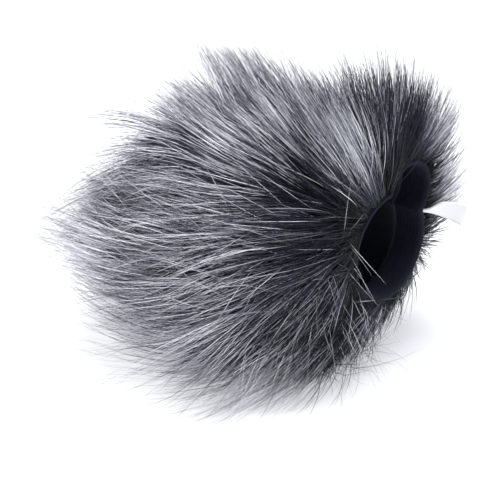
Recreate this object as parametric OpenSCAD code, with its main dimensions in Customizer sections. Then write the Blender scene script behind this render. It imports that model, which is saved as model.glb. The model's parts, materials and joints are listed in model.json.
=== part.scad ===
// Furry windscreen: a soft bag of faux fur with a black lining and an elastic mouth, lying on its side.
// Millimetres, +Z up. The mouth opens along +X; the origin is under the middle of the bag, on the surface.

/* [Bag] */
// Radius of the fabric bag at its widest place
bag_r = 41; // [36:1:42]
// How much narrower the bag is 40 mm nearer the mouth
bag_taper = 3.5; // [2.5:0.5:4]
// Turn of the bag's axis away from the mouth's axis, seen from above
bag_yaw = 19; // [12:1:20]
// Rise of the bag's axis towards the mouth
bag_pitch = 12; // [8:1:14]
// Thickness of the fur's knitted backing
backing_t = 1.2; // [0.8:0.1:1.6]
// Thickness of the lining
lining_t = 1; // [0.6:0.1:1.2]
// Width of the sewn seam between two backing panels
seam_w = 0.6; // [0.4:0.1:1]

/* [Pile] */
// Depth of the standing fur at the bag's widest place
pile_t = 27; // [22:1:28]
// How much thinner the fur is 40 mm nearer the mouth
pile_taper = 10.5; // [8:0.5:12]
// Fur left under the bag where it rests
pile_under = 5; // [4:0.5:8]

/* [Mouth] */
// Radius of the large lobe of the mouth
lobe_r = 19.5; // [18:0.5:20]
// Radius of the small lobe of the mouth
small_lobe_r = 11; // [10:0.5:12]
// Distance between the centres of the two lobes
lobe_gap = 20.7; // [20:0.1:22]
// Lean of the line through the lobes, away from upright
mouth_lean = 32; // [25:1:35]
// Distance from the bag's centre to the plane that the mouth's lips slide on
front_reach = 36; // [34:1:37]
// Thickness of the hem casing's wall
cuff_t = 3; // [2.8:0.1:3.2]
// Length of the hem casing along the mouth's axis
cuff_l = 10; // [9:0.5:12]
// Length of the rolled binding in front of the casing
binding_l = 2; // [1.5:0.5:3]
// Radius of the front opening in the bag behind the lips
facing_r = 27.5; // [26.5:0.5:28.5]
// Reach of the fur that rides on the lips
fringe_r = 37; // [33:1:38]

/* [Label] */
// Visible length of the folded label
label_l = 14.5; // [12:1:20]
// Width of the label
label_w = 10; // [6:1:11]
// Thickness of the two leaves together
label_t = 0.8; // [0.6:0.1:1]

/* [Hidden] */
$fn = 96;

slide_gap = 0.3;
label_lift = 0.2;
label_swing = 45;
label_rise = 16;
label_roll = 45;
// How far the label reaches past the bag's centre: its sewn edge, its length and its slanted width
label_x = front_reach + slide_gap + cuff_l + binding_l + label_lift;
label_tip_x = label_l * cos(label_rise) * cos(label_swing);
label_edge_x = sin(label_roll) * sin(label_swing) - cos(label_roll) * sin(label_rise) * cos(label_swing);
label_reach = label_x + label_tip_x + label_w / 2 * label_edge_x;
// The bag's centre, placed so that the whole part is centred over the origin
bag_c = [(bag_r + pile_t - label_reach) / 2, 0, bag_r + pile_under];
// Centre of the mouth, measured from the bag's centre
mouth_y = 18.1;
mouth_z = 10.3;
front_x = bag_c[0] + front_reach;
taper_l = 40;
bag_l = 62;
quarter = 90;
far = 200;
// Turn that brings the first panel between the far side and the upper side of the mouth
first_panel = 90 - mouth_lean;
split_gap = 0.15;
big_lobe_t = -5.7;
small_lobe_t = big_lobe_t + lobe_gap;
facing_t = 2;
elastic_in = 0.9;
elastic_out = 2.1;
elastic_margin = 2;
thread_t = 0.3;
thread_w = 0.6;
fringe_l = 8;
fringe_clear = 0.05;
tack_s = 15;
tack_t = 12.3;
tack_r = 1.6;
label_s = 16;
label_mid_t = 11.5;
tail_l = 3.2;
stitch_r = 0.3;
stitch_off = 3;

fur_colour = [0.45, 0.46, 0.49];
backing_colour = [0.12, 0.12, 0.14];
lining_colour = [0.05, 0.05, 0.06];
hem_colour = [0.09, 0.09, 0.1];
thread_colour = [0.16, 0.16, 0.18];
label_colour = [0.95, 0.95, 0.95];

// Solid of the bag's shape, grown by g at its widest place and shrunk by the taper towards the mouth
module bag_solid(g, taper) {
    end_r = bag_r + g - taper * bag_l / taper_l;
    translate(bag_c) rotate([0, -bag_pitch, bag_yaw]) rotate([0, 90, 0]) {
        sphere(r = bag_r + g);
        cylinder(r1 = bag_r + g, r2 = end_r, h = bag_l);
    }
}

// Everything behind the plane that the lips slide on
module behind_front() {
    intersection() {
        children();
        translate([front_x - 2 * far, -far, 0]) cube([2 * far, 2 * far, 2 * far]);
    }
}

// A shell of the bag from growth g_in out to growth g_out
module bag_shell(g_in, g_out, taper_in, taper_out) {
    behind_front() difference() {
        bag_solid(g_out, taper_out);
        bag_solid(g_in, taper_in);
    }
}

// One of four wedges around the bag's axis, kept clear of its sides by half the seam
module panel_wedge(i, clear) {
    translate(bag_c) rotate([0, -bag_pitch, bag_yaw]) rotate([0, 90, 0])
        rotate([0, 0, first_panel + quarter * i])
            translate([clear, clear, -far]) cube([far, far, 2 * far]);
}

// Thin crossed plates through the bag's axis, where the panels are sewn together
module seam_plates() {
    translate(bag_c) rotate([0, -bag_pitch, bag_yaw]) rotate([0, 90, 0])
        rotate([0, 0, first_panel]) {
            translate([-seam_w / 2, -far, -far]) cube([seam_w, 2 * far, 2 * far]);
            translate([-far, -seam_w / 2, -far]) cube([2 * far, seam_w, 2 * far]);
        }
}

module fur_panel(i) {
    color(backing_colour) intersection() {
        bag_shell(-backing_t, 0, bag_taper, bag_taper);
        panel_wedge(i, seam_w / 2);
    }
}

module pile(i) {
    color(fur_colour) intersection() {
        bag_shell(0, pile_t, bag_taper, bag_taper + pile_taper);
        panel_wedge(i, 0);
    }
}

module panel_seams() {
    color(thread_colour) intersection() {
        bag_shell(-backing_t, 0, bag_taper, bag_taper);
        seam_plates();
    }
}

module lining(i) {
    color(lining_colour) intersection() {
        bag_shell(-backing_t - lining_t, -backing_t, bag_taper, bag_taper);
        panel_wedge(i, seam_w / 2);
    }
}

module lining_seams() {
    color(thread_colour) intersection() {
        bag_shell(-backing_t - lining_t, -backing_t, bag_taper, bag_taper);
        seam_plates();
    }
}

// The mouth's own frame: x points to the far lip, y up the line of lobes, z out of the mouth
module mouth_frame(out) {
    translate([front_x + out, bag_c[1] + mouth_y, bag_c[2] + mouth_z])
        rotate([-mouth_lean, 0, 0]) rotate([90, 0, 90]) children();
}

// The mouth's outline, a large and a small lobe pinched at the waist, grown by g
module mouth_outline(g) {
    translate([0, big_lobe_t]) circle(r = lobe_r + g);
    translate([0, small_lobe_t]) circle(r = small_lobe_r + g);
}

// Half of the plane on the far side (side = 1) or the near side (side = -1)
module lip_half(side) {
    mirror([side < 0 ? 1 : 0, 0]) translate([split_gap, -far / 2]) square([far / 2, far]);
}

// Half of a ring around the mouth, from growth g_in to growth g_out
module lip_ring(side, g_in, g_out, z0, h) {
    mouth_frame(z0) linear_extrude(h) intersection() {
        difference() {
            mouth_outline(g_out);
            mouth_outline(g_in);
        }
        lip_half(side);
    }
}

module mouth_facing() {
    color(lining_colour) difference() {
        intersection() {
            bag_solid(-backing_t - lining_t, bag_taper);
            translate([front_x - facing_t, -far, 0]) cube([facing_t, 2 * far, far]);
        }
        mouth_frame(-facing_t - 1) cylinder(r = facing_r, h = facing_t + 2);
    }
}

module cuff(side) {
    color(hem_colour) difference() {
        lip_ring(side, 0, cuff_t, slide_gap, cuff_l);
        lip_ring(side, elastic_in, elastic_out, slide_gap + elastic_margin, cuff_l - 2 * elastic_margin);
    }
}

module elastic(side) {
    color(thread_colour)
        lip_ring(side, elastic_in, elastic_out, slide_gap + elastic_margin, cuff_l - 2 * elastic_margin);
}

module binding(side) {
    color(hem_colour) lip_ring(side, 0, cuff_t, slide_gap + cuff_l, binding_l);
}

module hem_thread(side) {
    color(thread_colour)
        lip_ring(side, cuff_t, cuff_t + thread_t, slide_gap + cuff_l - 2 * thread_w, thread_w);
}

module tack_spot(side, g) {
    translate([side * tack_s, tack_t]) circle(r = tack_r + g);
}

module seam_tack(side) {
    color(thread_colour) mouth_frame(slide_gap) linear_extrude(fringe_l) difference() {
        tack_spot(side, 0);
        mouth_outline(cuff_t + thread_t + fringe_clear);
    }
}

module fringe(side) {
    color(fur_colour) mouth_frame(slide_gap) linear_extrude(fringe_l) intersection() {
        difference() {
            circle(r = fringe_r);
            mouth_outline(cuff_t + thread_t + fringe_clear);
            tack_spot(side, fringe_clear);
        }
        lip_half(side);
    }
}

// The label's own frame: x along the label from its sewn edge, y through it, z across it
module label_frame() {
    translate([front_x, bag_c[1] + mouth_y, bag_c[2] + mouth_z]) rotate([-mouth_lean, 0, 0])
        translate([slide_gap + cuff_l + binding_l + label_lift, label_s, label_mid_t])
            rotate([0, 0, label_swing]) rotate([0, -label_rise, 0]) rotate([label_roll, 0, 0])
                children();
}

module label() {
    color(label_colour) label_frame() {
        translate([0, -label_t / 2, -label_w / 2]) cube([label_l - label_t / 2, label_t, label_w]);
        for (end = [0, label_l - label_t / 2])
            translate([end, 0, -label_w / 2]) cylinder(r = label_t / 2, h = label_w);
    }
}

// The stitches through the tail, one towards each edge of the label
module stitch_pins(r, l) {
    label_frame() for (side = [-1, 1])
        translate([-tail_l / 2, 0, side * stitch_off]) rotate([90, 0, 0])
            cylinder(r = r, h = l, center = true);
}

module label_tail() {
    color(label_colour) difference() {
        label_frame() translate([-tail_l, -label_t / 2, -label_w / 2])
            cube([tail_l - label_t / 2 - slide_gap, label_t, label_w]);
        mouth_frame(0) linear_extrude(slide_gap + cuff_l + binding_l) mouth_outline(cuff_t + thread_t);
        stitch_pins(stitch_r, 4 * label_t);
    }
}

module label_stitches() {
    color(thread_colour) difference() {
        stitch_pins(stitch_r, 2 * label_t);
        mouth_frame(0) linear_extrude(slide_gap + cuff_l + binding_l) mouth_outline(cuff_t + thread_t);
    }
}

fur_panel(0);  // fur_panel_upper_far
fur_panel(1);  // fur_panel_upper_near
fur_panel(2);  // fur_panel_lower_near
fur_panel(3);  // fur_panel_lower_far
pile(0);  // pile_upper_far
pile(1);  // pile_upper_near
pile(2);  // pile_lower_near
pile(3);  // pile_lower_far
lining(0);  // lining_upper_far
lining(1);  // lining_upper_near
lining(2);  // lining_lower_near
lining(3);  // lining_lower_far
panel_seams();
lining_seams();
mouth_facing();
cuff(-1);  // cuff_near
elastic(-1);  // elastic_near
binding(-1);  // binding_near
hem_thread(-1);  // hem_thread_near
fringe(-1);  // fringe_near
seam_tack(-1);  // seam_tack_near
cuff(1);  // cuff_far
elastic(1);  // elastic_far
binding(1);  // binding_far
hem_thread(1);  // hem_thread_far
fringe(1);  // fringe_far
seam_tack(1);  // seam_tack_far
label_tail();
label_stitches();
label();
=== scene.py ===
# Furry windscreen: a soft faux-fur bag with a black knitted lining and a pinched elastic mouth.
# Metres, +Z up. The mouth opens along +X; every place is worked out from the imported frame.
import json
import math

import bpy
import numpy as np
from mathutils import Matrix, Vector, kdtree


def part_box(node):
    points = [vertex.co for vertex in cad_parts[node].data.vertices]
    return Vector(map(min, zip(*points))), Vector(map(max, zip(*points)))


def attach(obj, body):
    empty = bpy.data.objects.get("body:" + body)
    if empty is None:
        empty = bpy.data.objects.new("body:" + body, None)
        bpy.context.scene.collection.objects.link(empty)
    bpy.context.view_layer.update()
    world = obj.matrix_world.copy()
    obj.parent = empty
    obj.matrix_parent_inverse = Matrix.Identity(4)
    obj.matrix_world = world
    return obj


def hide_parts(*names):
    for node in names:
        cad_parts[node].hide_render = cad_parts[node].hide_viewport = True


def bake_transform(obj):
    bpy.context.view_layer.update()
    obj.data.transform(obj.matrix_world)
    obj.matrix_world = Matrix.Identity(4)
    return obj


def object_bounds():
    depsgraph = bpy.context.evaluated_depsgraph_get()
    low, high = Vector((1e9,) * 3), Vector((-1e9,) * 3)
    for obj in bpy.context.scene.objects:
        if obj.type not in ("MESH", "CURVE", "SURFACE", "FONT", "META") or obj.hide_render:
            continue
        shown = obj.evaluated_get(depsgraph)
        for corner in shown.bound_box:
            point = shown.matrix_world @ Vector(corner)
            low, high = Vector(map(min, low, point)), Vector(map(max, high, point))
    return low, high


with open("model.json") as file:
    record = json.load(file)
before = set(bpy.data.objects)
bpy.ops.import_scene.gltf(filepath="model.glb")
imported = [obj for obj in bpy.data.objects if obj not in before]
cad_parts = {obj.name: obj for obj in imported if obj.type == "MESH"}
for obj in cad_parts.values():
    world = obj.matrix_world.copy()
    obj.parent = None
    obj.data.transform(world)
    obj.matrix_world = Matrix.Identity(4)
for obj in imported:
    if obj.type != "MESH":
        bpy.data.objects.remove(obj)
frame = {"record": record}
cad_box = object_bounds()
rng = np.random.default_rng(41)

MM = 0.001
GORES = ("upper_far", "upper_near", "lower_near", "lower_far")

# ---------------------------------------------------------------- places taken from the frame


def unit(v):
    v = np.asarray(v, float)
    return v / np.maximum(np.linalg.norm(v, axis=-1, keepdims=True), 1e-12)


def mount(name):
    return next(m for m in frame["record"]["mounts"] if m["name"] == name)


def joint(name):
    return next(j for j in frame["record"]["behaviour"]["joints"] if j["name"] == name)


OUT = np.array([1.0, 0.0, 0.0])
FAR = unit(joint("lip_far_stretch")["axis"])
ALONG = np.cross(OUT, FAR)

BAG_R = 41 * MM
TAPER = 3.5 / 40
BAG_YAW = math.radians(19)
BAG_PITCH = math.radians(12)
AXIS = np.array([
    math.cos(BAG_PITCH) * math.cos(BAG_YAW),
    math.cos(BAG_PITCH) * math.sin(BAG_YAW),
    math.sin(BAG_PITCH),
])
BAG_C = np.min([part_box("fur_panel_" + g)[0] for g in GORES], axis=0) + BAG_R
E_FAR = unit(FAR - (FAR @ AXIS) * AXIS)
E_ALONG = np.cross(AXIS, E_FAR)

LOBE_R = mount("mouth")["dims"]["r_mm"] * MM
SMALL_LOBE_R = 11 * MM
BIG_LOBE_AT = -5.7 * MM
SMALL_LOBE_AT = 15 * MM
WAIST_SHARP = 6000.0  # how tightly the two lobes' outlines meet at the waist
CUFF_T = 3 * MM
FRONT_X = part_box("fringe_far")[0][0]
RIM_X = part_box("binding_far")[1][0]
mouth_pos = np.array(mount("mouth")["pos_m"])
MOUTH = mouth_pos - BIG_LOBE_AT * ALONG
MOUTH[0] = FRONT_X
RIM_OUT = RIM_X - FRONT_X
RIM = MOUTH + OUT * RIM_OUT
FLOOR_CLEAR = 0.4 * MM


def mouth_point(out, far, along):
    """Points in the mouth's own frame: out of the mouth, towards the far lip, up the line of lobes."""
    out, far, along = np.broadcast_arrays(out, far, along)
    return MOUTH + out[..., None] * OUT + far[..., None] * FAR + along[..., None] * ALONG


def outline(theta, growth):
    """Distance from the mouth's centre to its pinched outline, at each angle."""
    big_r, small_r = LOBE_R + growth, SMALL_LOBE_R + growth
    big = BIG_LOBE_AT * np.sin(theta) + np.sqrt(big_r**2 - (BIG_LOBE_AT * np.cos(theta)) ** 2)
    inside = small_r**2 - (SMALL_LOBE_AT * np.cos(theta)) ** 2
    small = np.where(
        (inside > 0) & (np.sin(theta) > 0),
        SMALL_LOBE_AT * np.sin(theta) + np.sqrt(np.maximum(inside, 0)),
        0,
    )
    return np.log(np.exp(WAIST_SHARP * big) + np.exp(WAIST_SHARP * small)) / WAIST_SHARP


def round_mouth(theta, grow_by, out):
    """Points at each angle round the mouth, on its outline grown by an amount, out of the front plane."""
    reach = outline(theta, grow_by)
    return mouth_point(out, reach * np.cos(theta), reach * np.sin(theta))


def from_mouth(theta):
    """The direction out from the mouth's middle at each angle round it."""
    return np.cos(theta)[:, None] * FAR + np.sin(theta)[:, None] * ALONG


def smooth(x):
    """0 up to x = 0, 1 from x = 1, and eased between."""
    x = np.clip(x, 0, 1)
    return x * x * (3 - 2 * x)


# ---------------------------------------------------------------- mesh helpers


def new_object(name, mesh, material):
    obj = bpy.data.objects.new(name, mesh)
    bpy.context.scene.collection.objects.link(obj)
    mesh.materials.append(material)
    return obj


def mesh_from_faces(name, verts, quads, tris, uv_quads=None, uv_tris=None):
    """A smooth mesh from arrays of corners, four or three to a face, with an optional bake layout."""
    mesh = bpy.data.meshes.new(name)
    loops = np.concatenate([quads.ravel(), tris.ravel()]).astype(np.int32)
    starts = np.concatenate([
        np.arange(len(quads)) * 4,
        len(quads) * 4 + np.arange(len(tris)) * 3,
    ]).astype(np.int32)
    mesh.vertices.add(len(verts))
    mesh.vertices.foreach_set("co", np.asarray(verts, np.float32).ravel())
    mesh.loops.add(len(loops))
    mesh.loops.foreach_set("vertex_index", loops)
    mesh.polygons.add(len(starts))
    mesh.polygons.foreach_set("loop_start", starts)
    mesh.polygons.foreach_set("use_smooth", np.ones(len(starts), bool))
    mesh.update(calc_edges=True)
    if uv_quads is not None:
        layer = mesh.uv_layers.new(name="OFBake")
        uv = np.concatenate([uv_quads.reshape(-1, 2), uv_tris.reshape(-1, 2)])
        layer.data.foreach_set("uv", uv.astype(np.float32).ravel())
    return mesh


NO_TRIS = np.zeros((0, 3), int)


def grid_normals(grid, wrap):
    """Normals of a grid of points; wrap joins its last column to its first."""
    if wrap:
        across = np.roll(grid, -1, 1) - np.roll(grid, 1, 1)
    else:
        across = np.gradient(grid, axis=1)
    return unit(np.cross(np.gradient(grid, axis=0), across))


def grid_faces(rows, cols, wrap, base=0, flip=False):
    """The four corners of each cell of a grid of points, as indices."""
    r, c = np.meshgrid(np.arange(rows - 1), np.arange(cols if wrap else cols - 1), indexing="ij")
    c1 = (c + 1) % cols
    quads = np.stack([r * cols + c, r * cols + c1, (r + 1) * cols + c1, (r + 1) * cols + c], -1)
    quads = quads.reshape(-1, 4) + base
    return quads[:, ::-1] if flip else quads


def shell(name, grid, thickness, material, wrap=False, normals=None):
    """A closed thin sheet: the grid, a second layer under it, and the edges between."""
    rows, cols = grid.shape[:2]
    n = grid_normals(grid, wrap) if normals is None else normals
    under = grid - thickness * n
    verts = np.concatenate([grid.reshape(-1, 3), under.reshape(-1, 3)])
    size = rows * cols
    quads = [grid_faces(rows, cols, wrap), grid_faces(rows, cols, wrap, size, True)]
    ids = np.arange(size).reshape(rows, cols)
    edges = [(ids[0][::-1], wrap), (ids[-1], wrap)]
    if not wrap:
        edges += [(ids[:, 0], False), (ids[::-1, -1], False)]
    for line, closed in edges:
        nxt = np.roll(line, -1) if closed else line[1:]
        cur = line if closed else line[:-1]
        quads.append(np.stack([cur, cur + size, nxt + size, nxt], -1)[:, ::-1])
    mesh = mesh_from_faces(name, verts, np.concatenate(quads), NO_TRIS)
    return new_object(name, mesh, material)


def thread_mesh(name, paths, radius, material, sides=6):
    """Round threads with pointed ends, one along each path, all in one mesh."""
    verts, quads, tris, base = [], [], [], 0
    angle = np.arange(sides) * 2 * math.pi / sides
    c, c1 = np.arange(sides), (np.arange(sides) + 1) % sides
    for path in paths:
        path = np.asarray(path, float)
        tangent = unit(np.gradient(path, axis=0))
        side = unit(np.cross(tangent, unit([0.31, 0.52, 0.79])))
        lift = np.cross(tangent, side)
        ring = np.cos(angle)[None, :, None] * side[:, None] + np.sin(angle)[None, :, None] * lift[:, None]
        grid = path[:, None] + radius * ring
        rows = len(path)
        size = rows * sides
        verts += [grid.reshape(-1, 3), path[:1] - radius * tangent[:1], path[-1:] + radius * tangent[-1:]]
        quads.append(grid_faces(rows, sides, True, base, True))
        first, last, end = base + size, base + size + 1, base + size - sides
        tris.append(np.stack([np.full(sides, first), base + c, base + c1], -1)[:, ::-1])
        tris.append(np.stack([np.full(sides, last), end + c1, end + c], -1)[:, ::-1])
        base += size + 2
    mesh = mesh_from_faces(name, np.concatenate(verts), np.concatenate(quads), np.concatenate(tris))
    return new_object(name, mesh, material)


# ---------------------------------------------------------------- materials


def node_material(name):
    mat = bpy.data.materials.new(name)
    mat.use_nodes = True
    nodes, links = mat.node_tree.nodes, mat.node_tree.links
    return mat, nodes, links, nodes["Principled BSDF"]


def ramp(nodes, stops):
    """A colour ramp from a list of (position, colour)."""
    node = nodes.new("ShaderNodeValToRGB")
    el = node.color_ramp.elements
    while len(el) < len(stops):
        el.new(0.5)
    for e, (pos, colour) in zip(el, stops):
        e.position = pos
        e.color = (*colour, 1)
    return node


def grey(v):
    return (v, v, v)


def fur_material(name, along, tones, roughness):
    """Hair colour from the strand's own layout: u is the strand's tone, v runs from root to tip."""
    mat, nodes, links, bsdf = node_material(name)
    uv = nodes.new("ShaderNodeUVMap")
    uv.uv_map = "OFBake"
    split = nodes.new("ShaderNodeSeparateXYZ")
    links.new(uv.outputs["UV"], split.inputs[0])
    tone = ramp(nodes, tones)
    length = ramp(nodes, along)
    links.new(split.outputs["X"], tone.inputs[0])
    links.new(split.outputs["Y"], length.inputs[0])
    mix = nodes.new("ShaderNodeMix")
    mix.data_type = "RGBA"
    mix.blend_type = "MULTIPLY"
    mix.inputs["Factor"].default_value = 1
    links.new(length.outputs["Color"], mix.inputs[6])
    links.new(tone.outputs["Color"], mix.inputs[7])
    links.new(mix.outputs[2], bsdf.inputs["Base Color"])
    bsdf.inputs["Roughness"].default_value = roughness
    bsdf.inputs["Specular IOR Level"].default_value = 0.35
    return mat


def knit_material(name, dark, light, scale, bump, roughness=0.85):
    """Fine knit: rows of small stitches in relief, with painted shade darkening the hollows between them
    and a little random tone from noise.
    """
    mat, nodes, links, bsdf = node_material(name)
    coord = nodes.new("ShaderNodeTexCoord")
    mapping = nodes.new("ShaderNodeMapping")
    mapping.inputs["Scale"].default_value = (scale, scale, scale * 1.5)
    links.new(coord.outputs["Object"], mapping.inputs["Vector"])
    cells = nodes.new("ShaderNodeTexVoronoi")
    cells.inputs["Scale"].default_value = 1
    links.new(mapping.outputs[0], cells.inputs["Vector"])
    noise = nodes.new("ShaderNodeTexNoise")
    noise.inputs["Scale"].default_value = scale * 0.12
    noise.inputs["Detail"].default_value = 5
    links.new(coord.outputs["Object"], noise.inputs["Vector"])
    add = nodes.new("ShaderNodeMath")
    add.operation = "ADD"
    links.new(cells.outputs["Distance"], add.inputs[0])
    links.new(noise.outputs[0], add.inputs[1])
    # Painted shade: the colour runs from light at each stitch's middle to dark in the hollows between
    # stitches; the noise adds random tone.
    colour = ramp(nodes, [(0.35, light), (11 / 12, dark)])
    links.new(add.outputs[0], colour.inputs[0])
    links.new(colour.outputs[0], bsdf.inputs["Base Color"])
    relief = nodes.new("ShaderNodeBump")
    relief.inputs["Strength"].default_value = bump
    relief.inputs["Distance"].default_value = 0.0003
    relief.invert = True
    links.new(cells.outputs["Distance"], relief.inputs["Height"])
    links.new(relief.outputs[0], bsdf.inputs["Normal"])
    bsdf.inputs["Roughness"].default_value = roughness
    bsdf.inputs["Specular IOR Level"].default_value = 0.12
    bsdf.inputs["Sheen Weight"].default_value = 0.03
    bsdf.inputs["Sheen Roughness"].default_value = 0.5
    return mat


# ROOT is the dark root end of the hair: partly the pile's own dark roots and partly painted shade deep in
# the pile. BAND is the light band and TIP the dark tips.
ROOT, BAND, TIP = (0.004, 0.005, 0.012), (0.915, 0.92, 0.985), (0.028, 0.030, 0.040)
TONES = [
    (0.0, (0.016, 0.019, 0.032)), (0.3, (0.048, 0.054, 0.082)), (0.46, (0.33, 0.335, 0.37)),
    (0.7, grey(0.8)), (1.0, grey(1.0)),
]
# The dark stretch from the root to about 0.35 along each strand is partly the fur's dark roots and partly
# painted shade deep in the pile.
guard_hair = fur_material(
    "guard_hair",
    [(0.0, ROOT), (0.18, (0.010, 0.012, 0.02)), (0.35, (0.40, 0.41, 0.45)), (0.48, BAND),
     (0.72, (0.78, 0.79, 0.84)), (0.86, (0.15, 0.155, 0.19)), (1.0, TIP)],
    TONES, 0.38,
)
edge_fibre = fur_material(
    "edge_fibre",
    [(0.0, ROOT), (0.08, (0.03, 0.035, 0.05)), (0.3, (0.10, 0.11, 0.15)),
     (0.6, (0.7, 0.71, 0.77)), (0.85, (0.5, 0.5, 0.54)), (1.0, TIP)],
    TONES, 0.38,
)
stray_hair = fur_material("stray_hair", [(0.0, (0.1, 0.1, 0.11)), (0.2, BAND), (1.0, BAND)], TONES, 0.4)
# The under hair's near-black, blue-tinted colour is partly its own dark colour and partly painted shade in
# the gaps between the locks.
under_hair = fur_material(
    "under_hair",
    [(0.0, ROOT), (0.5, (0.009, 0.011, 0.021)), (1.0, (0.032, 0.037, 0.058))],
    [(0.0, grey(0.3)), (1.0, grey(1.0))],
    0.6,
)
backing_knit = knit_material("backing_knit", (0.004, 0.004, 0.006), (0.010, 0.010, 0.013), 900, 0.6)
lining_knit = knit_material("lining_knit", (0.03, 0.034, 0.05), (0.06, 0.066, 0.092), 1400, 0.7)
hem_knit = knit_material("hem_knit", (0.0062, 0.0078, 0.0155), (0.011, 0.014, 0.026), 1600, 0.8)
thread = knit_material("thread", (0.008, 0.008, 0.010), (0.03, 0.03, 0.035), 3000, 0.5, 0.6)
elastic_weave = knit_material("elastic_weave", (0.015, 0.015, 0.017), (0.05, 0.05, 0.055), 1200, 0.5)
label_satin = knit_material("label_satin", (0.87, 0.87, 0.875), (0.94, 0.94, 0.935), 5200, 0.25, 0.45)

# ---------------------------------------------------------------- the cover's fabric

RINGS_BACK, RINGS_SIDE, RINGS_FRONT = 26, 12, 22
SIDE_L = 24 * MM
AROUND = 160
SWEEP_FROM_SIDE, SWEEP_INTO_MOUTH = 34 * MM, 26 * MM
theta_all = np.arange(AROUND) * 2 * math.pi / AROUND - math.pi / 2


def bag_ring(u, r, theta):
    """A ring of the bag at a distance along its axis."""
    ring = np.cos(theta)[:, None] * E_FAR + np.sin(theta)[:, None] * E_ALONG
    return BAG_C + u * AXIS + r * ring


def cover_grid(theta, inset=0.0):
    """The cover's surface in rings from the back pole to the rim of the mouth."""
    rows = []
    for a in np.linspace(0.02, math.pi / 2, RINGS_BACK):
        rows.append(bag_ring(-(BAG_R - inset) * math.cos(a), (BAG_R - inset) * math.sin(a), theta))
    for u in np.linspace(0, SIDE_L, RINGS_SIDE + 1)[1:]:
        rows.append(bag_ring(u, BAG_R - inset - TAPER * u, theta))
    start = rows[-1]
    start_dir = (AXIS - TAPER * (start - BAG_C - SIDE_L * AXIS) / BAG_R) * SWEEP_FROM_SIDE
    end = round_mouth(theta, CUFF_T, RIM_OUT - 2.5 * MM)
    inward = -from_mouth(theta)
    end_dir = (0.9 * inward + 0.25 * OUT) * SWEEP_INTO_MOUTH
    for t in np.linspace(0, 1, RINGS_FRONT + 1)[1:]:
        h00, h10 = 2 * t**3 - 3 * t**2 + 1, t**3 - 2 * t**2 + t
        h01, h11 = -2 * t**3 + 3 * t**2, t**3 - t**2
        rows.append(h00 * start + h10 * start_dir + h01 * end + h11 * end_dir)
    return np.array(rows)


cover = cover_grid(theta_all)
cover_n = -grid_normals(cover, True)

# ---------------------------------------------------------------- hair


def body_normal(p):
    """Outward direction of the cover near a point: from the bag's axis, turning forward at the front."""
    rel = p - BAG_C
    u = np.clip(rel @ AXIS, 0, 22 * MM)
    return unit(rel - u[..., None] * AXIS)


def flow(p, n):
    """The way the pile lies: away from the mouth, along the cover."""
    away = p - (RIM - 4 * MM * OUT)
    return unit(away - (away * n).sum(-1, keepdims=True) * n)


def turned(v, axis, angle):
    """v turned about axis by an angle, for arrays of vectors."""
    c, s = np.cos(angle)[..., None], np.sin(angle)[..., None]
    return v * c + np.cross(axis, v) * s + axis * (axis * v).sum(-1, keepdims=True) * (1 - c)


UPWARD, DOWNWARD = 0.75, 0.8
WAVE, LEANS_BY, STRAIGHT_FROM = 0.14, 0.36, 0.22


def combed_up(p):
    """1 where the pile was combed upwards and 0 below a ragged parting that climbs towards the back."""
    rel = p - BAG_C
    u = rel @ AXIS
    parting = 28 * MM * smooth((40 * MM - u) / (66 * MM)) - 2 * MM
    parting = parting + 2.2 * MM * np.sin(u / (4.1 * MM)) + 1.4 * MM * np.sin(u / (1.7 * MM) + 1)
    return smooth((rel @ E_ALONG - parting) / (7 * MM))


def valley(p):
    """1 along the parting and 0 on each side of it."""
    up = combed_up(p)
    return 4 * up * (1 - up)


def combed_down(p):
    """1 on the underside near the mouth, where the pile falls away downwards, and 0 elsewhere."""
    rel = p - BAG_C
    return smooth((-(rel @ E_ALONG) - 2 * MM) / (20 * MM)) * smooth((rel @ AXIS + 6 * MM) / (26 * MM))


def grow(roots, normals, length, rise_root, rise_tip, twist, curl, droop, points, follow=0.2):
    """Strands as points from root to tip.

    Each leans over near its root, runs nearly straight, and spreads out where it meets the floor.
    """
    out = [roots]
    lift = (UPWARD * combed_up(roots) - DOWNWARD * combed_down(roots))[:, None] * ALONG
    wave = rng.normal(0, WAVE, len(roots))
    phase = rng.uniform(0, 2 * math.pi, (2, len(roots)))
    p = roots.copy()
    step = (length / (points - 1))[:, None]
    before = None
    for k in range(points - 1):
        s = (k + 0.5) / (points - 1)
        n = body_normal(p) if k else unit(0.5 * normals + 0.5 * body_normal(p))
        t = turned(flow(p, n), n, twist + curl * s + wave * np.sin(9 * s + phase[0]))
        rise = rise_root + (rise_tip - rise_root) * min(1.0, s / LEANS_BY)
        rise = rise + 0.7 * wave * np.sin(8 * s + phase[1])
        d = unit(np.cos(rise)[:, None] * t + np.sin(rise)[:, None] * n + min(1.0, s / 0.3) * lift)
        if before is not None:
            share = 1.0 if s < STRAIGHT_FROM else follow
            d = unit((1 - share) * before + share * d)
        d[:, 2] -= droop * s
        d = unit(d)
        before = d
        q = p + step * d
        low = q[:, 2] < FLOOR_CLEAR
        if low.any():
            outward = unit((p[low] - BAG_C) * [1, 1, 0])
            flat = unit(d[low] * [1, 1, 0] + 0.6 * outward)
            rise_back = np.clip((FLOOR_CLEAR - p[low, 2]) / step[low, 0], -0.9, 0.9)
            flat = flat * np.sqrt(1 - rise_back**2)[:, None]
            flat[:, 2] = rise_back
            q[low] = p[low] + step[low] * flat
            q[low, 2] = np.maximum(q[low, 2], FLOOR_CLEAR)
        out.append(q)
        p = q
    return np.stack(out, 1)


ROOM = 0.03 * (np.array(cad_box[1]) - np.array(cad_box[0])) + 9 * MM
ROOM_LOW, ROOM_HIGH = np.array(cad_box[0]) - ROOM, np.array(cad_box[1]) + ROOM
LOW_BAND, SHORTEST = 32 * MM, 0.2


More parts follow.
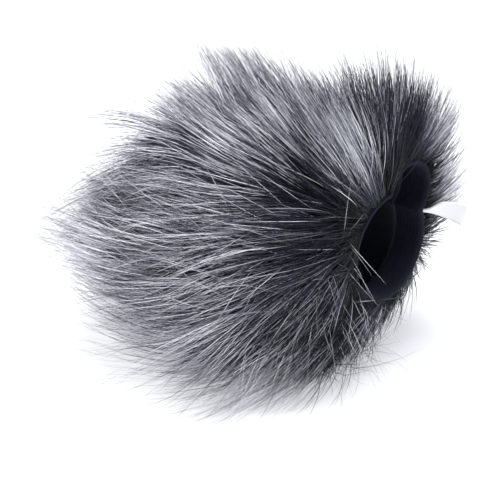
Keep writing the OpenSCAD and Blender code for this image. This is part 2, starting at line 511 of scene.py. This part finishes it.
def trim(pts, reach, low_cut=9 * MM):
    """Cuts each strand where it leaves its own reach from the bag's centre, and redraws it up to there.

    The reach is less by low_cut near the floor. No strand is cut to under SHORTEST of its length.
    """
    n, k = pts.shape[:2]
    low = smooth(1.45 - pts[..., 2] / LOW_BAND)
    past = np.linalg.norm(pts - BAG_C, axis=-1) - reach[:, None] + np.reshape(low_cut, (-1, 1)) * low
    past = np.maximum(past, np.max(np.maximum(pts - ROOM_HIGH, ROOM_LOW - pts), -1))
    past[:, 0] = np.minimum(past[:, 0], -0.1 * MM)
    out = past > 0
    crossing = out.any(1)
    at = np.argmax(out, 1)
    i = np.flatnonzero(crossing)
    a, b = past[i, at[i] - 1], past[i, at[i]]
    cut = np.full(n, float(k - 1))
    cut[i] = np.maximum(at[i] - 1 + a / (a - b), SHORTEST * (k - 1))
    where = cut[:, None] * np.linspace(0, 1, k)[None]
    j = np.minimum(where.astype(int), k - 2)
    f = (where - j)[..., None]
    rows = np.arange(n)[:, None]
    return pts[rows, j] * (1 - f) + pts[rows, j + 1] * f


NEAR_RIM = 24 * MM


def rim_nearness(p):
    """From 1 at the mouth's rim to 0 well away from it, and the angle round the mouth."""
    rel = p - RIM
    far, along = rel @ FAR, rel @ ALONG
    theta = np.arctan2(along, far)
    beyond = np.maximum(np.hypot(far, along) - outline(theta, CUFF_T), 0)
    return np.clip(1 - np.hypot(beyond, rel[:, 0]) / NEAR_RIM, 0, 1), theta


def about(theta, middle, width):
    """1 at an angle round the mouth, falling to 0 at 1.5 widths on each side, both in degrees."""
    off = np.abs((theta - math.radians(middle) + math.pi) % (2 * math.pi) - math.pi)
    return smooth(1.5 - off / math.radians(width))


def over_mouth(p):
    """1 in the bare patch above the mouth where the pile parts left and right, and 0 elsewhere."""
    near, theta = rim_nearness(p)
    return smooth(2.8 * near) * about(theta, 124, 16)


def up_and_far(theta):
    """1 above and beyond the far lip, where the pile stands up, and 0 opposite."""
    return smooth(0.25 + 0.55 * np.cos(theta) + 0.75 * np.sin(theta))


def lie(p):
    """How the pile at each root differs from its plain lie.

    Gives more rise at the root, more at the tip, a turn, and a share of the length.
    """
    near, theta = rim_nearness(p)
    far_side, up = np.cos(theta), np.sin(theta)
    up_far = up_and_far(theta)
    low_far = smooth(0.2 + 0.7 * far_side - 0.9 * up)
    root = near * (math.radians(8) + math.radians(30) * up_far - math.radians(30) * low_far)
    tip = near * (math.radians(52) * up_far - math.radians(14) * low_far)
    rel = p - BAG_C
    size = 1 - near * (0.45 * low_far - 0.1 * up_far) + 0.14 * smooth(0.2 - (rel @ AXIS) / BAG_R)
    tip = tip + math.radians(12) * smooth(-(rel @ AXIS) / BAG_R)
    combed, level = combed_up(p), rel @ E_ALONG
    turn = 0.3 * (0.5 - combed) * np.exp(-((level / (30 * MM)) ** 2))
    turn = turn - 0.5 * (1 - combed) * np.exp(-(((level + 13 * MM) / (19 * MM)) ** 2)) * (1 - 0.5 * near)
    return root, tip, turn * np.where(rel @ E_FAR < 0, 1, -1), size


def nearest(points, centres):
    """Index of the nearest centre to each point."""
    tree = kdtree.KDTree(len(centres))
    for i, c in enumerate(centres):
        tree.insert(c, i)
    tree.balance()
    return np.array([tree.find(p)[1] for p in points])


def scatter(count):
    """Random places on the cover and their normals, evenly by area."""
    g = np.concatenate([cover, cover[:, :1]], 1)
    n = np.concatenate([cover_n, cover_n[:, :1]], 1)
    area = np.linalg.norm(np.cross(g[1:, :-1] - g[:-1, :-1], g[:-1, 1:] - g[:-1, :-1]), axis=-1)
    cell = rng.choice(area.size, count, p=(area / area.sum()).ravel())
    r, c = np.divmod(cell, AROUND)
    fr, fc = rng.random(count)[:, None], rng.random(count)[:, None]

    def at(a):
        top = a[r, c] * (1 - fc) + a[r, c + 1] * fc
        bottom = a[r + 1, c] * (1 - fc) + a[r + 1, c + 1] * fc
        return top * (1 - fr) + bottom * fr

    return at(g), unit(at(n))


def gore_of(p):
    """Index in GORES of the panel that a point belongs to, by its side of the two seams."""
    rel = p - BAG_C
    front = np.clip((rel @ AXIS) / (30 * MM), 0, 1)[..., None]
    rel = rel * (1 - front) + (p - RIM) * front
    far, along = rel @ FAR, rel @ ALONG
    return np.where(along > 0, np.where(far > 0, 0, 1), np.where(far > 0, 3, 2))


def strands_mesh(name, pts, widths, tone, material):
    """Closed three-sided hairs that taper to a point, all in one mesh."""
    n, k = pts.shape[:2]
    tangent = unit(np.gradient(pts, axis=1))
    ref = unit(rng.normal(size=(n, 1, 3)))
    a = unit(np.cross(tangent, ref))
    b = np.cross(tangent, a)
    ring = []
    for ang in (2 * math.pi * j / 3 for j in range(3)):
        corner = math.cos(ang) * a[:, :-1] + math.sin(ang) * b[:, :-1]
        ring.append(pts[:, :-1] + widths[:, :-1, None] * corner)
    body = np.stack(ring, 2).reshape(n, (k - 1) * 3, 3)
    verts = np.concatenate([body, pts[:, -1:]], 1)
    per = (k - 1) * 3 + 1
    seg, side = np.meshgrid(np.arange(k - 2), np.arange(3), indexing="ij")
    nxt = (side + 1) % 3
    quad = np.stack([seg * 3 + side, seg * 3 + nxt, seg * 3 + 3 + nxt, seg * 3 + 3 + side], -1)
    quad = quad.reshape(-1, 4)
    last = (k - 2) * 3
    tri = np.array([[last + j, last + (j + 1) % 3, per - 1] for j in range(3)] + [[2, 1, 0]])
    base = (np.arange(n) * per)[:, None, None]
    quads = (quad[None] + base).reshape(-1, 4)
    tris = (tri[None] + base).reshape(-1, 3)

    spread = 0.006
    u_of = np.concatenate([np.tile([0.0, spread, 2 * spread], k - 1), [spread]])
    v_of = np.concatenate([np.repeat(np.arange(k - 1) / (k - 1), 3), [1.0]])
    u0 = np.clip(tone, 0, 1)[:, None, None] * (1 - 2 * spread)

    def layout(face):
        uv = np.empty((n,) + face.shape + (2,))
        uv[..., 0] = u0 + u_of[face]
        uv[..., 1] = 0.004 + 0.992 * v_of[face]
        return uv

    mesh = mesh_from_faces(name, verts.reshape(-1, 3), quads, tris, layout(quad), layout(tri))
    return new_object(name, mesh, material)


# The pile is shaped in swathes, which hold locks, which hold tufts, which draw in single strands.
SWATHES, LOCKS, TUFTS = 46, 360, 4800
GUARD, UNDER, COLLAR, EDGE = 21000, 16000, 2500, 1500
OUTLIERS, OUTLYING_TUFTS, WISPS, STRAYS_AT_MOUTH, STRAYS_BELOW = 17000, 300, 1100, 260, 640
POINTS, UNDER_POINTS, LOOSE_POINTS = 11, 6, 12
LENGTH, UNDER_LENGTH, COLLAR_LENGTH = 52 * MM, 27 * MM, 44 * MM
OUTLIER_LENGTH, EDGE_LENGTH = 64 * MM, 34 * MM
RISE_ROOT, RISE_TIP = RISE = math.radians(46), math.radians(10)
DROOP = 0.03
LOCK_PULL, LOOSE, LOCK_REACH = 0.7, 0.17, 24 * MM
SWATHE_R, LOW_MOST = 13 * MM, 17 * MM

# Darker and lighter pile round the mouth: angle and width in degrees, and how much.
DARK_AT_MOUTH = ((222, 44, 0.75), (126, 17, 0.75))
LIGHT_AT_MOUTH = ((20, 50, 0.34), (162, 16, 0.2))
DARK_AT_PARTING = 0.42

lock_at, lock_n = scatter(LOCKS)
swathe_at, _ = scatter(SWATHES)
swathe = rng.normal(0, 1, (3, SWATHES))
apart = np.linalg.norm(lock_at[:, None] - swathe_at[None], axis=-1)
share = np.exp(-((apart / SWATHE_R) ** 2)) + 1e-9
shared = (swathe[:, None] * share[None]).sum(-1) / np.sqrt((share**2).sum(-1))
swathe_twist, swathe_rise, swathe_tone = shared
lock_calm = 1 - 0.7 * rim_nearness(lock_at)[0]
lock_twist = lock_calm * (0.2 * swathe_twist + rng.normal(0, 0.17, LOCKS))
lock_rise = lock_calm * (0.09 * swathe_rise + rng.normal(0, 0.06, LOCKS))
lock_tone = lock_calm * (0.15 * swathe_tone + rng.normal(0, 0.13, LOCKS))
lock_curl = rng.normal(0, 0.16, LOCKS)
lock_length = rng.normal(1, 0.12, LOCKS)
lock_reach = LOCK_REACH * np.minimum(np.abs(rng.normal(0, 0.5, LOCKS)), 1)
tuft_at, tuft_n = scatter(TUFTS)
tuft_lock = nearest(tuft_at, lock_at)
tuft_root, tuft_tip, tuft_turn, tuft_size = lie(tuft_at)
tuft_twist = tuft_turn + lock_twist[tuft_lock] + rng.normal(0, 0.10, TUFTS)
tuft_curl = lock_curl[tuft_lock] + rng.normal(0, 0.12, TUFTS)
tuft_rise = lock_rise[tuft_lock] + rng.normal(0, 0.07, TUFTS)
tuft_tone = lock_tone[tuft_lock] + rng.normal(0, 0.27, TUFTS)
tuft_length = np.clip(lock_length[tuft_lock] + rng.normal(0, 0.08, TUFTS), 0.6, 1.3) * tuft_size


def same_side(a, b):
    """Whether two places are on the same side of the parting."""
    return (combed_up(a) > 0.5) == (combed_up(b) > 0.5)


def tuft_guides(base_length, points, rise):
    """Each tuft's own strand, drawn part of the way to its lock's."""
    root, tip, turn, size = lie(lock_at)
    lock = grow(
        lock_at, lock_n, base_length * lock_length * size, rise[0] + root + lock_rise,
        rise[1] + tip + lock_rise, turn + lock_twist, lock_curl, DROOP, points,
    )[tuft_lock]
    tuft = grow(
        tuft_at, tuft_n, base_length * tuft_length, rise[0] + tuft_root + tuft_rise,
        rise[1] + tuft_tip + tuft_rise, tuft_twist, tuft_curl, DROOP, points,
    )
    close = smooth(2 - np.linalg.norm(tuft_at - lock_at[tuft_lock], axis=-1) / (8 * MM))
    close = close * same_side(tuft_at, lock_at[tuft_lock])
    s = np.linspace(0, 1, points)[None, :, None]
    return tuft + LOCK_PULL * close[:, None, None] * s * (lock - tuft)


def marked(theta, marks):
    """How much a place round the mouth is marked, by a table of angle, width and amount."""
    return sum(amount * about(theta, middle, width) for middle, width, amount in marks)


def strand_tone(roots, tuft, below):
    """0 for the darkest strand and 1 for the lightest, by tuft, by place with painted light and shade on
    the underside, and at random.
    """
    near, theta = rim_nearness(roots)
    underside = smooth(-((roots - BAG_C) @ E_ALONG) / (30 * MM))
    dark = near * marked(theta, DARK_AT_MOUTH) + DARK_AT_PARTING * valley(roots)
    # Painted light: strands on the underside away from the mouth are made lighter, standing in for light
    # from the floor; where the pile falls below the mouth (below over one half) the same term turns
    # negative and darkens them as painted shade.
    light = near * marked(theta, LIGHT_AT_MOUTH) + 0.1 * underside * (1 - near) * (1 - 2 * below)
    tone = 0.63 + tuft_tone[tuft] * (1.12 + 0.75 * below) + rng.normal(0, 0.21, len(roots))
    return np.clip(tone - dark + light, 0, 1)


def hair_from(
    roots, normals, base_length, clump, spread, reach_lo, reach_more,
    points=POINTS, rise=RISE, low_most=LOW_MOST,
):
    """Strands from these roots, each drawn towards its tuft's own strand."""
    count = len(roots)
    tuft = nearest(roots, tuft_at)
    length = base_length * tuft_length[tuft] * rng.uniform(0.68, 1.18, count)
    below = combed_down(roots)
    loose = rng.random(count) < LOOSE + 0.55 * below
    more = rng.normal(0, 1, count) * np.where(loose, 0.15, spread * 0.6) + tuft_rise[tuft]
    root, tip, turn, _ = lie(roots)
    astray = rng.normal(0, 1, count) * np.where(loose, 0.28 + 0.4 * below, spread)
    pts = grow(
        roots, normals, length, rise[0] + root + more, rise[1] + tip + more,
        turn + tuft_twist[tuft] - tuft_turn[tuft] + astray,
        tuft_curl[tuft] + rng.normal(0, 0.1, count), DROOP, points,
    )
    guide = tuft_guides(base_length, points, rise)[tuft]
    s = np.linspace(0, 1, points)[None, :, None]
    close = np.linalg.norm(roots - tuft_at[tuft], axis=-1) < 4 * MM
    close = close & same_side(roots, tuft_at[tuft]) & ~loose
    pull = clump * (rng.uniform(0.55, 1.0, count) * close)[:, None, None] * s**0.9
    pts = pts + pull * (guide - pts)
    pts[..., 2] = np.maximum(pts[..., 2], FLOOR_CLEAR)
    near, theta = rim_nearness(roots)
    own_reach = lock_reach[tuft_lock[tuft]]
    reach = reach_lo + own_reach + reach_more * np.minimum(np.abs(rng.normal(0, 0.5, count)), 1)
    reach = reach + rng.uniform(2, 17, count) * MM * near * up_and_far(theta)
    reach = reach + 8 * MM * smooth(-((roots - BAG_C) @ AXIS) / (34 * MM) + 0.3)
    tone = strand_tone(roots, tuft, below)
    low_cut = low_most * (1 - own_reach / (LOCK_REACH * 1.1))
    return roots, trim(pts, reach, low_cut), tone


def hair(count, base_length, points, clump, spread, thin=0.0):
    """Hair all over the cover, thinned below, above the mouth and along the parting."""
    roots, normals = scatter(count)
    below = smooth(-((roots - BAG_C) @ E_ALONG) / (30 * MM))
    sparse = np.maximum(combed_down(roots), 0.6 * below) + 1.6 * over_mouth(roots) + 0.9 * valley(roots)
    kept = rng.random(count) > thin * sparse
    return hair_from(roots[kept], normals[kept], base_length, clump, spread, 54 * MM, 12 * MM, points)


def collar(count):
    """More hair close round the mouth: under the hem's edge on the near side, thick behind the far lip."""
    behind = rng.random(count) < 0.26
    theta = np.where(
        behind, rng.normal(math.radians(38), math.radians(42), count),
        rng.uniform(math.radians(80), math.radians(300), count),
    )
    back = rng.uniform(0, 1, count)
    grow_by = np.where(behind, 2.6 + 9 * back, 2.3 + 2.2 * back) * MM
    out = RIM_OUT - np.where(behind, 2 + 8 * back, 1.2 + 6 * back) * MM
    roots = round_mouth(theta, grow_by, out)
    normals = unit(from_mouth(theta) + 0.7 * OUT)
    return hair_from(roots, normals, COLLAR_LENGTH, 0.45, 0.14, 66 * MM, 13 * MM)


def outliers(count, tufts):
    """Longer tufts here and there that stand out of the rest, more of them low and towards the back."""
    rel = tuft_at - BAG_C
    weight = 0.25 + smooth(-(rel @ E_ALONG) / (20 * MM)) + smooth(-(rel @ AXIS) / (20 * MM))
    weight = weight * (1 - rim_nearness(tuft_at)[0]) ** 2
    picked = rng.choice(TUFTS, tufts, replace=False, p=weight / weight.sum())
    roots, normals = scatter(count)
    kept = np.isin(nearest(roots, tuft_at), picked)
    return hair_from(
        roots[kept], normals[kept], OUTLIER_LENGTH, 0.6, 0.12, 70 * MM, 11 * MM,
        rise=(RISE_ROOT, RISE_TIP + math.radians(5)), low_most=0,
    )


def loose_hair(roots, normals, length, rise_root, rise_tip, twist, curl, droop, tone):
    """Single strands that belong to no tuft."""
    pts = grow(roots, normals, length, rise_root, rise_tip, twist, curl, droop, LOOSE_POINTS, 0.12)
    return roots, trim(pts, np.full(len(roots), 80 * MM)), tone


def wisps(count):
    """Long thin strands that stand clear of the rest."""
    roots, normals = scatter(count)
    root, tip, turn, _ = lie(roots)
    return loose_hair(
        roots, normals, rng.uniform(50, 72, count) * MM, RISE_ROOT + root,
        RISE_TIP + tip + np.abs(rng.normal(0, 0.22, count)), turn + rng.normal(0, 0.3, count),
        rng.normal(0, 0.4, count), 0.05, rng.uniform(0.2, 0.8, count),
    )


def edge_hair(count):
    """Hair rooted in the rim itself on the near side, lying back over the hem."""
    theta = rng.uniform(math.radians(84), math.radians(292), count)
    grow_by = rng.uniform(1.0, 2.6, count)
    out = RIM_OUT - (0.1 + 0.55 * np.maximum(grow_by - 1.2, 0)) * MM
    roots = round_mouth(theta, grow_by * MM, out)
    normals = unit(0.5 * from_mouth(theta) + OUT)
    flat = (math.radians(26), math.radians(6))
    return hair_from(roots, normals, EDGE_LENGTH, 0.5, 0.16, 66 * MM, 13 * MM, rise=flat)


def strays(count, angles, grow_by, outs, lengths, turn, curl, tones):
    """Single strands lying across each other near the mouth, rooted round part of it.

    Angles are in degrees, grow_by, outs and lengths in millimetres, each a lowest and a highest.
    """
    theta = rng.uniform(math.radians(angles[0]), math.radians(angles[1]), count)
    grown = rng.uniform(*grow_by, count) * MM
    roots = round_mouth(theta, grown, rng.uniform(*outs, count) * MM)
    roots[:, 2] = np.maximum(roots[:, 2], 3 * MM)
    normals = unit(roots - (RIM - 16 * MM * OUT))
    return loose_hair(
        roots, normals, rng.uniform(*lengths, count) * MM, np.radians(rng.uniform(15, 50, count)),
        np.radians(rng.uniform(-6, 10, count)), rng.uniform(-turn, turn, count),
        rng.normal(0, curl, count), 0.1, rng.uniform(*tones, count),
    )


PER_MESH, UNDER_PER_MESH = 4200, 6500


def fur_pieces(kind, roots, pts, tone, width, material, limit=PER_MESH):
    """Strands as one mesh to each gore, or several where there are many."""
    made = {g: [] for g in GORES}
    owner = gore_of(roots)
    s = np.linspace(0, 1, pts.shape[1])
    profile = np.interp(s, [0, 0.25, 0.6, 1], [0.7, 1.0, 0.85, 0.12])
    for i, gore in enumerate(GORES):
        mine = np.flatnonzero(owner == i)
        if not len(mine):
            continue
        parts = max(1, math.ceil(len(mine) / limit))
        for j, ids in enumerate(np.array_split(mine, parts)):
            widths = width * rng.uniform(0.65, 1.3, len(ids))[:, None] * profile[None]
            name = f"{kind}_{gore}_{j + 1}"
            made[gore].append(strands_mesh(name, pts[ids], widths, tone[ids], material))
    return made


fur = {g: [] for g in GORES}
for batch in (
    fur_pieces("long_hair", *hair(GUARD, LENGTH, POINTS, 0.82, 0.08, 0.55), 0.115 * MM, guard_hair),
    fur_pieces(
        "under_hair", *hair(UNDER, UNDER_LENGTH, UNDER_POINTS, 0.3, 0.25),
        0.16 * MM, under_hair, UNDER_PER_MESH,
    ),
    fur_pieces("collar_hair", *collar(COLLAR), 0.11 * MM, guard_hair),
    fur_pieces("outlier", *outliers(OUTLIERS, OUTLYING_TUFTS), 0.105 * MM, guard_hair),
    fur_pieces("wisp", *wisps(WISPS), 0.075 * MM, guard_hair),
    fur_pieces("edge_hair", *edge_hair(EDGE), 0.1 * MM, edge_fibre),
    fur_pieces(
        "stray", *strays(STRAYS_AT_MOUTH, (190, 278), (3, 15), (-5, 7), (18, 40), 2.3, 0.3, (0.6, 0.95)),
        0.085 * MM, stray_hair,
    ),
    fur_pieces(
        "stray_below",
        *strays(STRAYS_BELOW, (232, 306), (6, 30), (-34, 2), (22, 46), 0.9, 0.5, (0.65, 1.0)),
        0.1 * MM, stray_hair,
    ),
):
    for gore in GORES:
        fur[gore] += batch[gore]

# ---------------------------------------------------------------- backing, lining, hem

BACKING_T, LINING_T, LINING_INSET, HEM_T, ELASTIC_T = 1.2 * MM, 0.8 * MM, 2.3 * MM, 0.45 * MM, 0.9 * MM


def go_with_lip(obj):
    """Bakes the piece's placement into its own mesh."""
    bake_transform(obj)


backing = {}
for i, gore in enumerate(GORES):
    lo = i * math.pi / 2
    theta = np.linspace(lo, lo + math.pi / 2, AROUND // 4 + 1)
    backing[gore] = shell("backing_" + gore, cover_grid(theta)[:, ::-1], BACKING_T, backing_knit)
    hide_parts("fur_panel_" + gore)
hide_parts("panel_seams")


def mouth_loft(name, profile, theta, thickness, material):
    """A band round the mouth: profile is a list of (out of the front plane, growth of the outline)."""
    rows = [round_mouth(theta, grow_by, out) for out, grow_by in profile]
    return shell(name, np.array(rows), thickness, material)


side_theta = {
    "far": np.linspace(-math.pi / 2, math.pi / 2, 181),
    "near": np.linspace(math.pi / 2, 3 * math.pi / 2, 181),
}
KNIT_ROW = 1.07 * MM
STITCH_EVERY, STITCH_LONG = 0.105, 0.07  # radians round the mouth
hem, lining, elastic, hem_thread, tack = {}, {}, {}, {}, {}
for side, theta in side_theta.items():
    roll = [(0.2 * MM, 3.0 * MM), (4 * MM, 3.0 * MM), (7 * MM, 2.9 * MM), (9 * MM, 2.5 * MM)]
    for a in np.linspace(0.35, math.pi, 9):
        roll.append((RIM_OUT - 1.3 * MM + 1.2 * MM * math.sin(a), (1.0 + 0.95 * math.cos(a)) * MM))
    for out in np.arange(RIM_OUT - 1.7 * MM, 0.5 * MM, -KNIT_ROW / 6):
        roll.append((out, 0.09 * MM * (1 + math.cos(2 * math.pi * out / KNIT_ROW))))
    hem[side] = mouth_loft("hem_" + side, roll, theta, HEM_T, hem_knit)
    band = [(1.6 * MM, 2.1 * MM), (8.4 * MM, 1.8 * MM)]
    elastic[side] = mouth_loft("elastic_band_" + side, band, theta, ELASTIC_T, elastic_weave)
    rows = list(cover_grid(theta, LINING_INSET)[: RINGS_BACK + RINGS_SIDE])
    start = rows[-1]
    end = round_mouth(theta, 0.5 * MM, 1.0 * MM)
    for t in np.linspace(0, 1, 13)[1:]:
        rows.append(start * (1 - t) + end * t + (1 - smooth(t)) * t * 9 * MM * AXIS)
    lining[side] = shell("lining_" + side, np.array(rows)[:, ::-1], LINING_T, lining_knit)

    stitches = []
    for a in np.arange(theta[0] + 0.04, theta[-1] - 0.06, STITCH_EVERY):
        span = a + np.linspace(0, STITCH_LONG, 5)
        proud = 3.02 * MM + 0.12 * MM * np.sin(np.linspace(0, math.pi, 5))
        stitches.append(round_mouth(span, proud, 8.6 * MM))
    hem_thread[side] = thread_mesh("hem_stitches_" + side, stitches, 0.14 * MM, thread)
    lo, hi = (np.array(v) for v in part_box("seam_tack_" + side))
    middle, half = (lo + hi) / 2, (hi - lo) / 2
    zigzag = []
    for k in range(9):
        turn = -1 if k % 2 else 1
        zigzag.append(middle + ((k - 4) / 4 * 0.8 * half[0]) * OUT + turn * 0.8 * MM * ALONG)
    tack[side] = thread_mesh("seam_stitches_" + side, [np.array(zigzag)], 0.16 * MM, thread)
    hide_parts("cuff_" + side, "binding_" + side)
    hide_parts("elastic_" + side)
    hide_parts(f"lining_upper_{side}", f"lining_lower_{side}")
    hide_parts("hem_thread_" + side)
    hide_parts("seam_tack_" + side)
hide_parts("lining_seams", "mouth_facing")

# The label: one strip of woven satin folded over, with both ends under the hem.
LABEL_L, LABEL_W, LABEL_TAIL, SATIN_T = 14.5 * MM, 10 * MM, 3 * MM, 0.3 * MM
label_base = np.array(joint("label_flip")["pos_m"])
across = unit(joint("label_flip")["axis"])
label_lo, label_hi = (np.array(v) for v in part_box("label"))
label_dir = (label_lo + label_hi) / 2 - label_base
label_dir = unit(label_dir - (label_dir @ across) * across)
label_face = np.cross(across, label_dir)
FOLD_R, FOLD_AT = 0.38 * MM, LABEL_L - 0.4 * MM
fold = [(x, FOLD_R) for x in np.linspace(-LABEL_TAIL, FOLD_AT, 16)]
for a in np.linspace(math.pi / 2, -math.pi / 2, 9)[1:-1]:
    fold.append((FOLD_AT + FOLD_R * math.cos(a), FOLD_R * math.sin(a)))
fold += [(x, -FOLD_R) for x in np.linspace(FOLD_AT, -LABEL_TAIL, 16)]
strip = np.array(fold)
across_share = np.linspace(0, 1, 9)
BASE_AT = 0.12 * LABEL_W
BASE_HALF = 0.06 * LABEL_W
out_share = np.clip(strip[:, 0] / LABEL_L, 0, 1)
widening = smooth((strip[:, 0] + 1.2 * MM) / (6.4 * MM))
upper = BASE_AT + (0.5 * LABEL_W - BASE_AT) * widening + BASE_HALF
lower = BASE_AT - (0.46 * LABEL_W + BASE_AT) * out_share - BASE_HALF
bow = 0.9 * MM * np.sin(math.pi * out_share)
grid = (
    label_base
    + strip[:, :1, None] * label_dir
    + (strip[:, 1] + bow)[:, None, None] * label_face
    + (lower[:, None] + (upper - lower)[:, None] * across_share[None])[..., None] * across
)
woven_label = shell("woven_label", grid[:, ::-1], SATIN_T, label_satin)
loops = []
a = np.linspace(0, 1.9 * math.pi, 14)
for off in (-0.3, 0.3):
    spot = label_base - 1.6 * MM * label_dir + off * LABEL_W * across
    loops.append(
        spot + 0.7 * MM * np.cos(a)[:, None] * across + 0.75 * MM * np.sin(a)[:, None] * label_face
    )
label_thread = thread_mesh("label_thread", loops, 0.13 * MM, thread)
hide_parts("label", "label_tail")
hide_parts("label_stitches")
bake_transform(woven_label)
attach(label_thread, "lip_far")

for gore in GORES:
    side = gore.split("_")[1]
    for piece in fur[gore]:
        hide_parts("pile_" + gore, "fringe_" + side)
        go_with_lip(piece)
    go_with_lip(backing[gore])
for side in ("far", "near"):
    for piece, slot in (
        (hem[side], "hem"), (elastic[side], "elastic"), (lining[side], "lining"),
        (hem_thread[side], "thread"), (tack[side], "thread"),
    ):
        go_with_lip(piece)

# ---------------------------------------------------------------- floor, light, camera


def stage_material():
    """White paper that glows a little, as a bright studio floor does in the photograph."""
    mat, _, _, bsdf = node_material("paper")
    bsdf.inputs["Base Color"].default_value = (0.5, 0.5, 0.5, 1)
    bsdf.inputs["Emission Color"].default_value = (0.95, 0.95, 1.0, 1)
    bsdf.inputs["Emission Strength"].default_value = 0.5
    bsdf.inputs["Roughness"].default_value = 0.9
    return mat


FLOOR_SIZE = 40.0
floor_quad = np.array([[0, 1, 2, 3]])
floor_verts = np.array([[-1, -1, 0], [1, -1, 0], [1, 1, 0], [-1, 1, 0]]) * FLOOR_SIZE
floor = new_object("floor", mesh_from_faces("floor", floor_verts, floor_quad, NO_TRIS), stage_material())

world = bpy.data.worlds.new("studio")
bpy.context.scene.world = world
world.use_nodes = True
sky = world.node_tree.nodes["Background"]
sky.inputs["Color"].default_value = (0.9, 0.92, 1, 1)
sky.inputs["Strength"].default_value = 0.62


def area_light(name, place, aim, size, power):
    """A round soft light at a place, turned to its aim."""
    data = bpy.data.lights.new(name, "AREA")
    data.shape = "DISK"
    data.size = size
    data.energy = power
    obj = bpy.data.objects.new(name, data)
    bpy.context.scene.collection.objects.link(obj)
    obj.location = place
    obj.rotation_euler = (Vector(aim) - Vector(place)).to_track_quat("-Z", "Y").to_euler()


aim = tuple(BAG_C)
area_light("key", (-0.75, -1.3, 1.7), aim, 0.8, 37)
area_light("top", (0.1, 0.1, 1.9), aim, 1.2, 44)
area_light("side", (1.4, -0.2, 0.8), aim, 0.8, 4)

VIEW_AZ, VIEW_EL = math.radians(41.5), math.radians(25)
VIEW_WIDTH, AIM_OFF = 190 * MM, 5 * MM
camera_data = bpy.data.cameras.new("camera")
camera_data.lens = 100
camera_data.sensor_width = 36
camera_data.clip_start = 0.01
camera = bpy.data.objects.new("camera", camera_data)
bpy.context.scene.collection.objects.link(camera)
bpy.context.scene.camera = camera
back = Vector((
    math.sin(VIEW_AZ) * math.cos(VIEW_EL), -math.cos(VIEW_AZ) * math.cos(VIEW_EL), math.sin(VIEW_EL),
))
right = Vector((math.cos(VIEW_AZ), math.sin(VIEW_AZ), 0))
up = back.cross(right)
target = Vector(BAG_C) - AIM_OFF * right - AIM_OFF * up
camera.location = target + back * (VIEW_WIDTH * camera_data.lens / camera_data.sensor_width)
camera.rotation_euler = (-back).to_track_quat("-Z", "Y").to_euler()
bpy.context.scene.view_settings.view_transform = "Standard"
